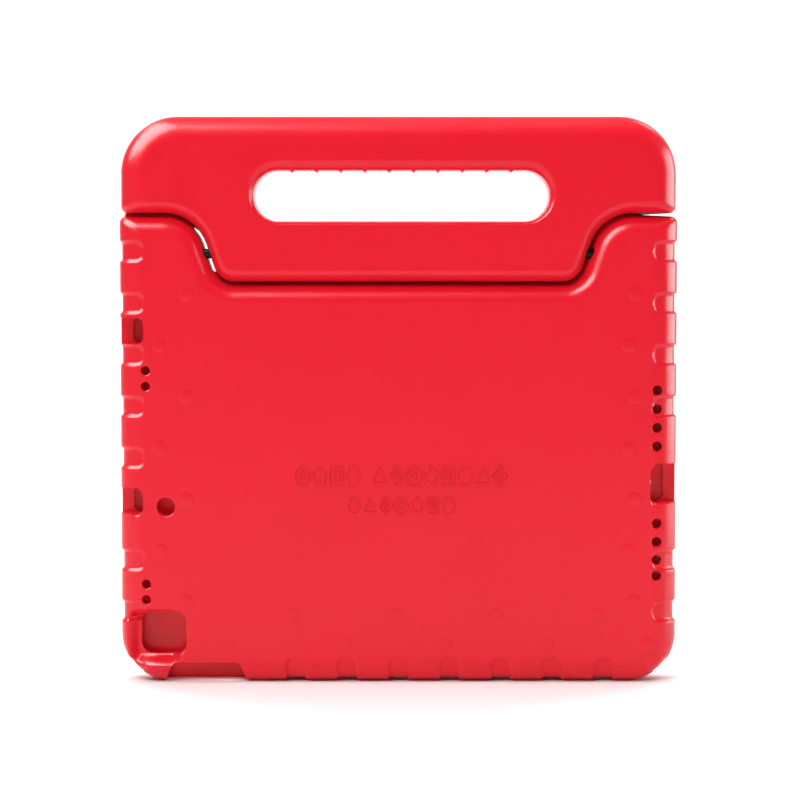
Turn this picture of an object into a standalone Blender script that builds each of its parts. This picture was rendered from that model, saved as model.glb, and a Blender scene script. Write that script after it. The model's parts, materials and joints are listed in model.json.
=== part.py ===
"""Foam tablet case with a carrying handle that folds back as a stand, for Blender 4.5.

Metres, +Z up. The case stands upright, as it hangs from its handle: the tablet's
screen faces +Y and the back of the case faces -Y. The origin is at the bottom
edge, under the middle of the case. Run it from Blender's text editor or with
blender --background --python part.py.
"""

import math

import bmesh
import bpy
from mathutils import Matrix, Vector

# The tablet that the tray is made for.
TABLET_LENGTH = 0.240
TABLET_HEIGHT = 0.1695
TABLET_DEPTH = 0.0075
TABLET_CORNER = 0.0085
TABLET_CLEARANCE = 0.0005
BEZEL_LONG = 0.0070
BEZEL_SHORT = 0.0212

# Foam walls around the tablet.
SIDE_WALL = 0.0085
BOTTOM_WALL = 0.0066
TOP_WALL = 0.0073
BACK_WALL = 0.010
FRONT_LIP = 0.008

# Handle and its hinge, measured from the hinge's axis.
HINGE_ABOVE_RECESS = 0.0144
EAR_ABOVE_HINGE = 0.0172
HANDLE_RISE = 0.046
HANDLE_SIDE_STEP = 0.00075
HINGE_DEPTH = 0.0075
GAP = 0.0014
EAR_SHOULDER_WIDTH = 0.0347
TONGUE_TAPER = 0.0109
SHOULDER_FILLET = 0.020
TONGUE_FILLET = 0.0104

# Corners and roundings of the mouldings.
TOP_CORNER = 0.0265
BOTTOM_CORNER = 0.0225
TIP_CORNER = 0.003
OUTER_ROUNDING = 0.0105
EAR_ROUNDING = 0.008
TONGUE_ROUNDING = 0.0085
FRONT_ROUNDING = 0.006

# Grip slot of the handle.
SLOT_LENGTH = 0.1367
SLOT_HEIGHT = 0.0233
SLOT_OFFSET = 0.0014
SLOT_ABOVE_SHOULDER = 0.0086
SLOT_ROUNDING = 0.0045

# Grip notches around the edge.
NOTCH_PITCH = 0.0238
NOTCH_WIDTH = 0.0088
NOTCH_DEPTH = 0.001
NOTCH_REACH = 0.010
FIRST_SIDE_NOTCH = 0.0332
NOTCH_MARGIN = 0.0065

# Cut-outs. Heights of the port cut-outs are measured from the middle of the tray.
RIM_ROUNDING = 0.0012
CAMERA_SIZE = (0.021, 0.0195)
CAMERA_INSET = 0.0202
CAMERA_HEIGHT = 0.01595
CAMERA_CORNER = 0.0055
VOLUME_LENGTH = 0.0386
VOLUME_TOP_LENGTH = 0.0307
VOLUME_INSET = 0.0397
VOLUME_ABOVE_TRAY_EDGE = 0.002
CHARGING_SIZE = (0.0102, 0.0218)
CHARGING_RISE = -0.0007
HEADPHONE_SIZE = (0.0089, 0.0153)
HEADPHONE_BELOW_TRAY_TOP = 0.01435
EDGE_MICROPHONE_SIZE = (0.0089, 0.013)
EDGE_MICROPHONE_RISE = -0.0074
PORT_CORNER = 0.0025
LEFT_HOLE_RADIUS = 0.00205
LEFT_HOLE_INSET = 0.0116
LEFT_HOLE_END_INSETS = (0.0318, 0.0392)
LEFT_HOLE_DROP = 0.001
RIGHT_HOLE_RADIUS = 0.00225
RIGHT_HOLE_INSET = 0.0090
RIGHT_HOLE_FIRST_RISE = 0.0179
RIGHT_HOLE_PITCH = 0.0085
RIGHT_HOLES_EACH_WAY = 4
REAR_MICROPHONE_RADIUS = 0.00425
REAR_MICROPHONE_INSET = 0.0214
REAR_MICROPHONE_RISE = -0.0102
HOME_BUTTON_INSET = 0.0104
HOME_BUTTON_RADIUS = 0.0085
FRONT_CAMERA_INSET = 0.0085
FRONT_CAMERA_RADIUS = 0.0045

# Hinge hardware.
FIT = 0.0003
PIN_RADIUS = 0.00225
PIN_END_LENGTH = 0.001
KEY_SIDE = 0.0055
KEY_LENGTH = 0.0065
BARREL_RADIUS = 0.0045
FOAM_SKIN = 0.0017
BARREL_LENGTH = 0.0122
FLANGE_RADIUS = 0.0056
FLANGE_LENGTH = 0.0015
FLANGE_FROM_MOUTH = 0.0062
SOCKET_RADIUS = 0.0050
SOCKET_LENGTH = 0.0130
RING_SECTION = 0.00105
GROOVE_DEPTH = 0.00055
GROOVE_LENGTH = 0.0014
RETAINER_RADIUS = 0.0040
RETAINER_THICKNESS = 0.0008
TUBE_WALL = 0.0008
TUBE_OVERLAP = 0.0035

# Margins of the cutters, and how finely round shapes are divided.
OVERCUT = 0.004
ARC_TOLERANCE = 0.00008
ROUNDING_STEPS = 5
SMALL_ROUNDING_STEPS = 2
TURNED_STEPS = 24
HOLE_STEPS = 16
SMALLEST_FILLET = 0.00008

# What follows from the sizes above.
BAY_LENGTH = TABLET_LENGTH + 2 * TABLET_CLEARANCE
BAY_HEIGHT = TABLET_HEIGHT + 2 * TABLET_CLEARANCE
BAY_DEPTH = TABLET_DEPTH + TABLET_CLEARANCE
THICKNESS = BACK_WALL + BAY_DEPTH + FRONT_LIP
BACK_Y = -THICKNESS / 2
FRONT_Y = THICKNESS / 2
BAY_FLOOR_Y = BACK_Y + BACK_WALL
LIP_Y = FRONT_Y - FRONT_LIP
HALF_WIDTH = BAY_LENGTH / 2 + SIDE_WALL
BAY_MIDDLE_Z = BOTTOM_WALL + BAY_HEIGHT / 2
BAY_TOP_Z = BOTTOM_WALL + BAY_HEIGHT
RECESS_Z = BAY_TOP_Z + TOP_WALL
HINGE_Z = RECESS_Z + HINGE_ABOVE_RECESS
HINGE_Y = BACK_Y + HINGE_DEPTH
EAR_TOP_Z = HINGE_Z + EAR_ABOVE_HINGE
TOP_Z = EAR_TOP_Z + HANDLE_RISE
GAP_TOP_Z = EAR_TOP_Z + GAP / 2
GAP_FLOOR_Z = RECESS_Z + GAP / 2
SHOULDER_X = HALF_WIDTH - EAR_SHOULDER_WIDTH
TONGUE_X = SHOULDER_X - TONGUE_TAPER
TAPER_PER_HEIGHT = TONGUE_TAPER / (GAP_TOP_Z - GAP_FLOOR_Z)
GAP_AT_HINGE_X = TONGUE_X + TAPER_PER_HEIGHT * (HINGE_Z - GAP_FLOOR_Z)
WIDEST_ROUNDING = max(EAR_ROUNDING, TONGUE_ROUNDING)
SKIN_DEPTH = min(HINGE_DEPTH - SOCKET_RADIUS - FIT, WIDEST_ROUNDING)
ROUNDED_BACK = WIDEST_ROUNDING - math.sqrt(WIDEST_ROUNDING**2 - (WIDEST_ROUNDING - SKIN_DEPTH) ** 2)
MOUTH_DEPTH = ROUNDED_BACK + FOAM_SKIN
BARREL_OUTER_X = GAP_AT_HINGE_X - MOUTH_DEPTH - GAP / 2
BARREL_INNER_X = BARREL_OUTER_X - BARREL_LENGTH
SOCKET_INNER_X = GAP_AT_HINGE_X + MOUTH_DEPTH + GAP / 2
SOCKET_OUTER_X = SOCKET_INNER_X + SOCKET_LENGTH
PIN_OUTER_X = SOCKET_OUTER_X - FIT
KEY_INNER_X = PIN_OUTER_X - KEY_LENGTH
BORE_RADIUS = PIN_RADIUS + FIT
GROOVE_X = BARREL_INNER_X - FIT - GROOVE_LENGTH / 2
PIN_INNER_X = GROOVE_X - GROOVE_LENGTH / 2 - PIN_END_LENGTH
BARREL_FLANGE_X = BARREL_OUTER_X - FLANGE_FROM_MOUTH
SOCKET_FLANGE_X = SOCKET_INNER_X + FLANGE_FROM_MOUTH
TUBE_HALF_LENGTH = BARREL_INNER_X + TUBE_OVERLAP
TUBE_INNER_RADIUS = BARREL_RADIUS + FIT
TUBE_OUTER_RADIUS = TUBE_INNER_RADIUS + TUBE_WALL
SLOT_Z = GAP_TOP_Z + SLOT_ABOVE_SHOULDER


def clear_scene():
    for item in list(bpy.data.objects):
        bpy.data.objects.remove(item, do_unlink=True)


def make_material(name, colour, roughness, metallic=0.0):
    material = bpy.data.materials.new(name)
    material.use_nodes = True
    shader = material.node_tree.nodes["Principled BSDF"]
    shader.inputs["Base Color"].default_value = (*colour, 1.0)
    shader.inputs["Roughness"].default_value = roughness
    shader.inputs["Metallic"].default_value = metallic
    return material


def add_object(name, shape, material=None, axis=None):
    """Put a finished bmesh in the scene. A piece with no material is a cutter."""
    bmesh.ops.recalc_face_normals(shape, faces=shape.faces)
    mesh = bpy.data.meshes.new(name)
    shape.to_mesh(mesh)
    shape.free()
    item = bpy.data.objects.new(name, mesh)
    bpy.context.scene.collection.objects.link(item)
    if material is None:
        item.hide_render = True
        item.display_type = "WIRE"
        return item
    mesh.materials.append(material)
    mesh.shade_smooth()
    mesh.set_sharp_from_angle(angle=math.radians(35))
    if axis is not None:
        item.parent = axis
        item.matrix_parent_inverse = Matrix.Translation(-axis.location)
    return item


def combine(item, operation, other):
    modifier = item.modifiers.new(other.name, "BOOLEAN")
    modifier.solver = "EXACT"
    modifier.operation = operation
    modifier.object = other


def arc_steps(radius, turn):
    """How many straight pieces keep an arc within the tolerance."""
    widest = 2 * math.acos(1 - ARC_TOLERANCE / max(radius, 2 * ARC_TOLERANCE))
    return max(1, math.ceil(abs(turn) / widest))


def outline(corners, inset=0.0):
    """The points of a closed outline with filleted corners, moved inwards by an inset.

    The corners run anticlockwise as (x, z, fillet radius). Every inset gives the same
    number of points, so that one outline can be extruded into the next.
    """
    points = []
    count = len(corners)
    for index, (x, z, radius) in enumerate(corners):
        corner = Vector((x, z))
        before = (corner - Vector(corners[index - 1][:2])).normalized()
        after = (Vector(corners[(index + 1) % count][:2]) - corner).normalized()
        turn = math.atan2(before.cross(after), before.dot(after))
        side = math.copysign(1.0, turn)
        inwards = Vector((-before.y - after.y, before.x + after.x)) / (1 + before.dot(after))
        moved = corner + inset * inwards
        fillet = max(radius - side * inset, SMALLEST_FILLET)
        centre = moved + side * fillet * inwards
        if not radius:
            points.append(moved)
            continue
        steps = arc_steps(radius, turn)
        spoke = -side * fillet * Vector((-before.y, before.x))
        for step in range(steps + 1):
            points.append(centre + Matrix.Rotation(turn * step / steps, 2) @ spoke)
    return points


def extruded(corners, stations, shape=None):
    """Extrude an outline along Y, through stations given as (y, inset)."""
    shape = shape or bmesh.new()
    y, inset = stations[0]
    start = shape.faces.new([shape.verts.new((p.x, y, p.y)) for p in outline(corners, inset)])
    face = start
    for y, inset in stations[1:]:
        made = bmesh.ops.extrude_face_region(shape, geom=[face])["geom"]
        if face is not start:
            bmesh.ops.delete(shape, geom=[face], context="FACES_ONLY")
        face = next(element for element in made if isinstance(element, bmesh.types.BMFace))
        for vertex, point in zip(face.verts, outline(corners, inset)):
            vertex.co = (point.x, y, point.y)
    return shape


def rounding(radius, steps=ROUNDING_STEPS):
    """(depth below the face, inset) along a quarter circle, from the face down."""
    angles = [math.pi / 2 * step / steps for step in range(steps + 1)]
    return [(radius * (1 - math.sin(angle)), radius * (1 - math.cos(angle))) for angle in reversed(angles)]


def slab_stations(back_y, front_y, back_rounding, front_rounding, base=0.0):
    """A slab's stations, from its rounded back edge to its rounded front edge."""
    back = [(back_y + depth, base + inset) for depth, inset in rounding(back_rounding)]
    front = [(front_y - depth, base + inset) for depth, inset in rounding(front_rounding)]
    return back + front[::-1]


def flared_stations(face_y, end_y, radius):
    """A cutter's stations, from outside a face, over the rounded rim, to where it ends."""
    outwards = math.copysign(1.0, face_y - end_y)
    rim = [(face_y - outwards * depth, -inset) for depth, inset in rounding(radius, SMALL_ROUNDING_STEPS)]
    return [(face_y + outwards * OVERCUT, -radius)] + rim + [(end_y, 0.0)]


def rectangle(x, z, width, height, radius):
    """Corners of a rectangle around a middle point."""
    left, right = x - width / 2, x + width / 2
    low, high = z - height / 2, z + height / 2
    return [(left, low, radius), (right, low, radius), (right, high, radius), (left, high, radius)]


def turned(profile, closed=False):
    """Spin a profile of (x, radius) points about the hinge's axis."""
    shape = bmesh.new()
    points = [shape.verts.new((x, HINGE_Y + radius, HINGE_Z)) for x, radius in profile]
    edges = [shape.edges.new(pair) for pair in zip(points, points[1:])]
    if closed:
        edges.append(shape.edges.new((points[-1], points[0])))
    bmesh.ops.spin(
        shape,
        geom=points + edges,
        cent=(0, HINGE_Y, HINGE_Z),
        axis=(1, 0, 0),
        angle=2 * math.pi,
        steps=TURNED_STEPS,
        use_merge=True,
    )
    bmesh.ops.holes_fill(shape, edges=[edge for edge in shape.edges if edge.is_boundary])
    return shape


def mirrored(profile, side):
    """The same profile on the other side of the case, when side is -1."""
    return [(side * x, radius) for x, radius in profile]


def drilled(holes, start_y, end_y):
    """Round holes along Y, given as (x, z, radius), in one cutter."""
    shape = bmesh.new()
    for x, z, radius in holes:
        place = Matrix.Translation((x, (start_y + end_y) / 2, z)) @ Matrix.Rotation(math.pi / 2, 4, "X")
        bmesh.ops.create_cone(
            shape,
            cap_ends=True,
            segments=HOLE_STEPS,
            radius1=radius,
            radius2=radius,
            depth=abs(end_y - start_y),
            matrix=place,
        )
    return shape


def outer_corners(half_width):
    """The outer edge of the case and its handle, from the bottom edge to the top."""
    return [
        (-half_width, 0, BOTTOM_CORNER),
        (half_width, 0, BOTTOM_CORNER),
        (half_width, TOP_Z, TOP_CORNER),
        (-half_width, TOP_Z, TOP_CORNER),
    ]


def body_corners():
    """The case with its recess between the ears, a little wider than the outer edge."""
    reach = HALF_WIDTH + GAP / 4
    half = GAP / 2
    slope = math.atan(TAPER_PER_HEIGHT)
    sideways = half / math.cos(slope)
    top_x = SHOULDER_X + sideways - half * TAPER_PER_HEIGHT
    floor_x = TONGUE_X + sideways - half * TAPER_PER_HEIGHT
    return [
        (-reach, -OVERCUT * 3, 0),
        (reach, -OVERCUT * 3, 0),
        (reach, EAR_TOP_Z, TIP_CORNER),
        (top_x, EAR_TOP_Z, SHOULDER_FILLET - half),
        (floor_x, RECESS_Z, TONGUE_FILLET + half),
        (-floor_x, RECESS_Z, TONGUE_FILLET + half),
        (-top_x, EAR_TOP_Z, SHOULDER_FILLET - half),
        (-reach, EAR_TOP_Z, TIP_CORNER),
    ]


def handle_corners():
    """The handle with its tongue, a little wider than the outer edge."""
    reach = HALF_WIDTH - HANDLE_SIDE_STEP + GAP / 4
    half = GAP / 2
    slope = math.atan(TAPER_PER_HEIGHT)
    sideways = half / math.cos(slope)
    top_x = SHOULDER_X - sideways + half * TAPER_PER_HEIGHT
    floor_x = TONGUE_X - sideways + half * TAPER_PER_HEIGHT
    return [
        (reach, TOP_Z + OVERCUT * 3, 0),
        (-reach, TOP_Z + OVERCUT * 3, 0),
        (-reach, GAP_TOP_Z + half, TIP_CORNER),
        (-top_x, GAP_TOP_Z + half, SHOULDER_FILLET + half),
        (-floor_x, GAP_FLOOR_Z + half, TONGUE_FILLET - half),
        (floor_x, GAP_FLOOR_Z + half, TONGUE_FILLET - half),
        (top_x, GAP_TOP_Z + half, SHOULDER_FILLET + half),
        (reach, GAP_TOP_Z + half, TIP_CORNER),
    ]


def make_envelope(name, half_width, inset=0.0):
    """The rounded outer shape that both mouldings are cut from."""
    stations = slab_stations(
        BACK_Y + inset, FRONT_Y - inset, OUTER_ROUNDING - inset, OUTER_ROUNDING - inset, inset
    )
    return add_object(name, extruded(outer_corners(half_width), stations))


def side_notch_heights():
    """Notches go up each side at one pitch, as far as the ear's top corner."""
    last = EAR_TOP_Z - NOTCH_WIDTH / 2 - NOTCH_MARGIN
    count = math.floor((last - FIRST_SIDE_NOTCH) / NOTCH_PITCH) + 1
    return [FIRST_SIDE_NOTCH + step * NOTCH_PITCH for step in range(count)]


def bottom_notch_places():
    """Notches along the bottom edge lie between the volume cut-out and the right corner."""
    left = -HALF_WIDTH + VOLUME_INSET + VOLUME_LENGTH / 2 + NOTCH_WIDTH / 2
    right = HALF_WIDTH - BOTTOM_CORNER - NOTCH_WIDTH / 2
    first = math.ceil((left + NOTCH_MARGIN) / NOTCH_PITCH)
    last = math.floor(right / NOTCH_PITCH)
    return [step * NOTCH_PITCH for step in range(first, last + 1)]


def make_notches():
    """Shallow grooves with a round inner end, which follow the rounded edge."""
    shape = bmesh.new()
    half = NOTCH_WIDTH / 2
    through = [(BACK_Y - OVERCUT, 0), (FRONT_Y + OVERCUT, 0)]
    outside = HALF_WIDTH + OVERCUT
    inside = HALF_WIDTH - NOTCH_REACH
    for z in side_notch_heights():
        right = [
            (inside, z - half, half),
            (outside, z - half, 0),
            (outside, z + half, 0),
            (inside, z + half, half),
        ]
        left = [(-x, height, radius) for x, height, radius in reversed(right)]
        extruded(right, through, shape)
        extruded(left, through, shape)
    for x in bottom_notch_places():
        groove = [
            (x - half, -OVERCUT, 0),
            (x + half, -OVERCUT, 0),
            (x + half, NOTCH_REACH, half),
            (x - half, NOTCH_REACH, half),
        ]
        extruded(groove, through, shape)
    notches = add_object("notches", shape)
    combine(notches, "DIFFERENCE", make_envelope("notch_floor", HALF_WIDTH, NOTCH_DEPTH))
    return notches


def make_bay():
    """The space for the tablet."""
    corners = rectangle(0, BAY_MIDDLE_Z, BAY_LENGTH, BAY_HEIGHT, TABLET_CORNER + TABLET_CLEARANCE)
    return add_object("bay", extruded(corners, [(BAY_FLOOR_Y, 0), (LIP_Y, 0)]))


def make_screen_window():
    """The opening in the front lip, inside the bezel of the tablet."""
    width = TABLET_LENGTH - 2 * BEZEL_SHORT
    height = TABLET_HEIGHT - 2 * BEZEL_LONG
    corners = rectangle(0, BAY_MIDDLE_Z, width, height, TABLET_CORNER / 2)
    stations = flared_stations(FRONT_Y, LIP_Y - FIT, FRONT_ROUNDING)
    return add_object("screen_window", extruded(corners, stations))


def make_button_reliefs():
    """Round-ended notches in the front lip, at the home button and the front camera."""
    edge = TABLET_LENGTH / 2 - BEZEL_SHORT
    reliefs = [(1, HOME_BUTTON_INSET, HOME_BUTTON_RADIUS), (-1, FRONT_CAMERA_INSET, FRONT_CAMERA_RADIUS)]
    shape = bmesh.new()
    for side, inset, radius in reliefs:
        near, far = edge - 2 * radius, TABLET_LENGTH / 2 - inset + radius
        middle = side * (near + far) / 2
        corners = rectangle(middle, BAY_MIDDLE_Z, far - near, 2 * radius, radius - FIT)
        extruded(corners, [(LIP_Y - FIT, 0), (FRONT_Y + OVERCUT, 0)], shape)
    return add_object("button_reliefs", shape)


def make_camera_window():
    """The opening in the back for the camera and the microphone beside it."""
    x = -HALF_WIDTH + CAMERA_INSET
    corners = rectangle(x, BOTTOM_WALL + CAMERA_HEIGHT, *CAMERA_SIZE, CAMERA_CORNER)
    stations = flared_stations(BACK_Y, BAY_FLOOR_Y + FIT, RIM_ROUNDING)
    return add_object("camera_window", extruded(corners, stations))


def make_volume_cutout():
    """The opening in the bottom wall over the volume keys, open to the back."""
    middle = -HALF_WIDTH + VOLUME_INSET
    half, top_half = VOLUME_LENGTH / 2, VOLUME_TOP_LENGTH / 2
    top = BOTTOM_WALL + VOLUME_ABOVE_TRAY_EDGE
    spread = (half - top_half) / top * OVERCUT
    corners = [
        (middle - half - spread, -OVERCUT, 0),
        (middle + half + spread, -OVERCUT, 0),
        (middle + top_half, top, PORT_CORNER),
        (middle - top_half, top, PORT_CORNER),
    ]
    stations = flared_stations(BACK_Y, LIP_Y, RIM_ROUNDING)
    return add_object("volume_cutout", extruded(corners, stations))


def make_port(name, side, size, z):
    """A notch in a side wall, open to the back and the side, as far in as the tray."""
    reach, height = size
    inner = HALF_WIDTH - reach
    outer = HALF_WIDTH + OVERCUT
    corners = rectangle(side * (inner + outer) / 2, z, outer - inner, height, PORT_CORNER)
    stations = flared_stations(BACK_Y, LIP_Y, RIM_ROUNDING)
    return add_object(name, extruded(corners, stations))


def make_sound_holes():
    """The rows of speaker holes in the back, near the short edges of the tablet."""
    left_x = -HALF_WIDTH + LEFT_HOLE_INSET
    right_x = HALF_WIDTH - RIGHT_HOLE_INSET
    rear_x = -HALF_WIDTH + REAR_MICROPHONE_INSET
    holes = [(rear_x, BAY_MIDDLE_Z + REAR_MICROPHONE_RISE, REAR_MICROPHONE_RADIUS)]
    for way in (-1, 1):
        for inset in LEFT_HOLE_END_INSETS:
            rise = way * (BAY_HEIGHT / 2 - inset) - LEFT_HOLE_DROP
            holes.append((left_x, BAY_MIDDLE_Z + rise, LEFT_HOLE_RADIUS))
        for step in range(RIGHT_HOLES_EACH_WAY):
            rise = RIGHT_HOLE_FIRST_RISE + step * RIGHT_HOLE_PITCH
            holes.append((right_x, BAY_MIDDLE_Z + way * rise, RIGHT_HOLE_RADIUS))
    return add_object("sound_holes", drilled(holes, BACK_Y - OVERCUT, BAY_FLOOR_Y + FIT))


def make_ear_hollow(side):
    """The hollow in an ear that its socket and pin fill."""
    name = "ear_hollow_right" if side > 0 else "ear_hollow_left"
    flange_end = SOCKET_FLANGE_X + FLANGE_LENGTH
    profile = [
        (GAP_AT_HINGE_X - OVERCUT, BORE_RADIUS),
        (SOCKET_INNER_X - FIT, BORE_RADIUS),
        (SOCKET_INNER_X - FIT, SOCKET_RADIUS + FIT),
        (SOCKET_FLANGE_X - FIT, SOCKET_RADIUS + FIT),
        (SOCKET_FLANGE_X - FIT, FLANGE_RADIUS + FIT),
        (flange_end + FIT, FLANGE_RADIUS + FIT),
        (flange_end + FIT, SOCKET_RADIUS + FIT),
        (SOCKET_OUTER_X + FIT, SOCKET_RADIUS + FIT),
    ]
    return add_object(name, turned(mirrored(profile, side)))


def make_handle_hollow():
    """The hollow along the tongue that the pins, the bushes and the core tube fill."""
    wide = max(FLANGE_RADIUS, TUBE_OUTER_RADIUS) + FIT
    right = [
        (BARREL_FLANGE_X + FLANGE_LENGTH + FIT, wide),
        (BARREL_FLANGE_X + FLANGE_LENGTH + FIT, BARREL_RADIUS + FIT),
        (BARREL_OUTER_X + FIT, BARREL_RADIUS + FIT),
        (BARREL_OUTER_X + FIT, BORE_RADIUS),
        (GAP_AT_HINGE_X + OVERCUT, BORE_RADIUS),
    ]
    return add_object("handle_hollow", turned(mirrored(right, -1)[::-1] + right))


def make_foam_body(material):
    stations = slab_stations(BACK_Y, FRONT_Y, EAR_ROUNDING, FRONT_ROUNDING)
    body = add_object("foam_body", extruded(body_corners(), stations), material)
    combine(body, "INTERSECT", make_envelope("body_envelope", HALF_WIDTH))
    cutters = [
        make_bay(),
        make_screen_window(),
        make_button_reliefs(),
        make_camera_window(),
        make_volume_cutout(),
        make_port("charging_port", 1, CHARGING_SIZE, BAY_MIDDLE_Z + CHARGING_RISE),
        make_port("headphone_port", -1, HEADPHONE_SIZE, BAY_TOP_Z - HEADPHONE_BELOW_TRAY_TOP),
        make_port("edge_microphone", -1, EDGE_MICROPHONE_SIZE, BAY_MIDDLE_Z + EDGE_MICROPHONE_RISE),
        make_sound_holes(),
        make_ear_hollow(-1),
        make_ear_hollow(1),
        make_notches(),
    ]
    for cutter in cutters:
        combine(body, "DIFFERENCE", cutter)


def make_foam_handle(material, axis):
    stations = slab_stations(BACK_Y, FRONT_Y, TONGUE_ROUNDING, FRONT_ROUNDING)
    handle = add_object("foam_handle", extruded(handle_corners(), stations), material, axis)
    combine(handle, "INTERSECT", make_envelope("handle_envelope", HALF_WIDTH - HANDLE_SIDE_STEP))
    slot_corners = rectangle(SLOT_OFFSET, SLOT_Z, SLOT_LENGTH, SLOT_HEIGHT, SLOT_HEIGHT / 2 - SMALLEST_FILLET)
    back = [(BACK_Y - OVERCUT, -SLOT_ROUNDING)]
    back += [(BACK_Y + depth, -inset) for depth, inset in rounding(SLOT_ROUNDING, ROUNDING_STEPS - 1)]
    front = [(-y, inset) for y, inset in reversed(back)]
    combine(handle, "DIFFERENCE", add_object("grip_slot", extruded(slot_corners, back + front)))
    combine(handle, "DIFFERENCE", make_handle_hollow())


def make_ear_socket(side, name, material):
    """A flanged cup moulded into the ear, with a square pocket that keys the pin."""
    flange_end = SOCKET_FLANGE_X + FLANGE_LENGTH
    profile = [
        (SOCKET_INNER_X, BORE_RADIUS),
        (SOCKET_OUTER_X, BORE_RADIUS),
        (SOCKET_OUTER_X, SOCKET_RADIUS),
        (flange_end, SOCKET_RADIUS),
        (flange_end, FLANGE_RADIUS),
        (SOCKET_FLANGE_X, FLANGE_RADIUS),
        (SOCKET_FLANGE_X, SOCKET_RADIUS),
        (SOCKET_INNER_X, SOCKET_RADIUS),
    ]
    socket = add_object(name, turned(mirrored(profile, side), closed=True), material)
    pocket = make_key(name + "_pocket", side, KEY_SIDE + 2 * FIT, KEY_INNER_X - FIT, SOCKET_OUTER_X + OVERCUT)
    combine(socket, "DIFFERENCE", pocket)


def make_key(name, side, width, inner_x, outer_x):
    """A square block around the hinge's axis, for the pin's key and for its pocket."""
    shape = bmesh.new()
    middle = Vector((side * (inner_x + outer_x) / 2, HINGE_Y, HINGE_Z))
    size = Matrix.Diagonal((outer_x - inner_x, width, width, 1.0))
    bmesh.ops.create_cube(shape, size=1.0, matrix=Matrix.Translation(middle) @ size)
    return add_object(name, shape)


def make_hinge_pin(side, name, material):
    """A round pin with a square key in the ear and a ring groove at its other end."""
    groove_radius = PIN_RADIUS - GROOVE_DEPTH
    half_groove = GROOVE_LENGTH / 2
    profile = [
        (PIN_INNER_X, PIN_RADIUS),
        (GROOVE_X - half_groove, PIN_RADIUS),
        (GROOVE_X - half_groove, groove_radius),
        (GROOVE_X + half_groove, groove_radius),
        (GROOVE_X + half_groove, PIN_RADIUS),
        (KEY_INNER_X + KEY_LENGTH / 2, PIN_RADIUS),
    ]
    pin = add_object(name, turned(mirrored(profile, side)), material)
    combine(pin, "UNION", make_key(name + "_key", side, KEY_SIDE, KEY_INNER_X, PIN_OUTER_X))


def make_handle_bush(side, name, material, axis):
    """A flanged bush moulded into the tongue, with a seat for the friction ring."""
    seat_radius = BORE_RADIUS + RING_SECTION + FIT
    seat_end = BARREL_INNER_X + RING_SECTION + 2 * FIT
    flange_end = BARREL_FLANGE_X + FLANGE_LENGTH
    profile = [
        (BARREL_INNER_X, seat_radius),
        (seat_end, seat_radius),
        (seat_end, BORE_RADIUS),
        (BARREL_OUTER_X, BORE_RADIUS),
        (BARREL_OUTER_X, BARREL_RADIUS),
        (flange_end, BARREL_RADIUS),
        (flange_end, FLANGE_RADIUS),
        (BARREL_FLANGE_X, FLANGE_RADIUS),
        (BARREL_FLANGE_X, BARREL_RADIUS),
        (BARREL_INNER_X, BARREL_RADIUS),
    ]
    add_object(name, turned(mirrored(profile, side), closed=True), material, axis)


def make_friction_ring(side, name, material, axis):
    """A round rubber ring in the bush's seat, around the pin."""
    middle_x = BARREL_INNER_X + FIT + RING_SECTION / 2
    middle_radius = BORE_RADIUS + RING_SECTION / 2
    angles = [2 * math.pi * step / 8 for step in range(8)]
    profile = [
        (middle_x + RING_SECTION / 2 * math.cos(angle), middle_radius + RING_SECTION / 2 * math.sin(angle))
        for angle in angles
    ]
    add_object(name, turned(mirrored(profile, side), closed=True), material, axis)


def make_retaining_ring(side, name, material):
    """A flat ring in the pin's groove, behind the bush."""
    inner_radius = PIN_RADIUS - GROOVE_DEPTH + FIT
    low, high = GROOVE_X - RETAINER_THICKNESS / 2, GROOVE_X + RETAINER_THICKNESS / 2
    profile = [(low, inner_radius), (high, inner_radius), (high, RETAINER_RADIUS), (low, RETAINER_RADIUS)]
    add_object(name, turned(mirrored(profile, side), closed=True), material)


def make_core_tube(material, axis):
    """The tube inside the handle's lower bar, with a bush in each end."""
    half = TUBE_HALF_LENGTH
    profile = [
        (-half, TUBE_INNER_RADIUS),
        (half, TUBE_INNER_RADIUS),
        (half, TUBE_OUTER_RADIUS),
        (-half, TUBE_OUTER_RADIUS),
    ]
    add_object("handle_core_tube", turned(profile, closed=True), material, axis)


def main():
    clear_scene()
    foam = make_material("red_foam", (0.79, 0.024, 0.040), 0.42)
    plastic = make_material("black_plastic", (0.012, 0.012, 0.013), 0.45)
    pin_steel = make_material("black_steel", (0.02, 0.02, 0.022), 0.3, 0.8)
    spring_steel = make_material("spring_steel", (0.42, 0.42, 0.43), 0.3, 1.0)
    rubber = make_material("black_rubber", (0.015, 0.015, 0.015), 0.7)
    aluminium = make_material("aluminium", (0.75, 0.75, 0.77), 0.35, 1.0)

    axis = bpy.data.objects.new("handle_axis", None)
    axis.location = (0, HINGE_Y, HINGE_Z)
    bpy.context.scene.collection.objects.link(axis)

    make_foam_body(foam)
    make_foam_handle(foam, axis)
    make_core_tube(aluminium, axis)
    for side, word in ((-1, "left"), (1, "right")):
        make_ear_socket(side, "ear_socket_" + word, plastic)
        make_hinge_pin(side, "hinge_pin_" + word, pin_steel)
        make_handle_bush(side, "handle_bush_" + word, plastic, axis)
        make_friction_ring(side, "friction_ring_" + word, rubber, axis)
        make_retaining_ring(side, "retaining_ring_" + word, spring_steel)


if __name__ == "__main__":
    main()
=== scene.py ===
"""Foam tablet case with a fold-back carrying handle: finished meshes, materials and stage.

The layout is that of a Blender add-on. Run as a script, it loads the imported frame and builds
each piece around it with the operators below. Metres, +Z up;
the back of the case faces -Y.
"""

import json
import math

import bmesh
import bpy
from mathutils import Matrix, Vector


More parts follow.
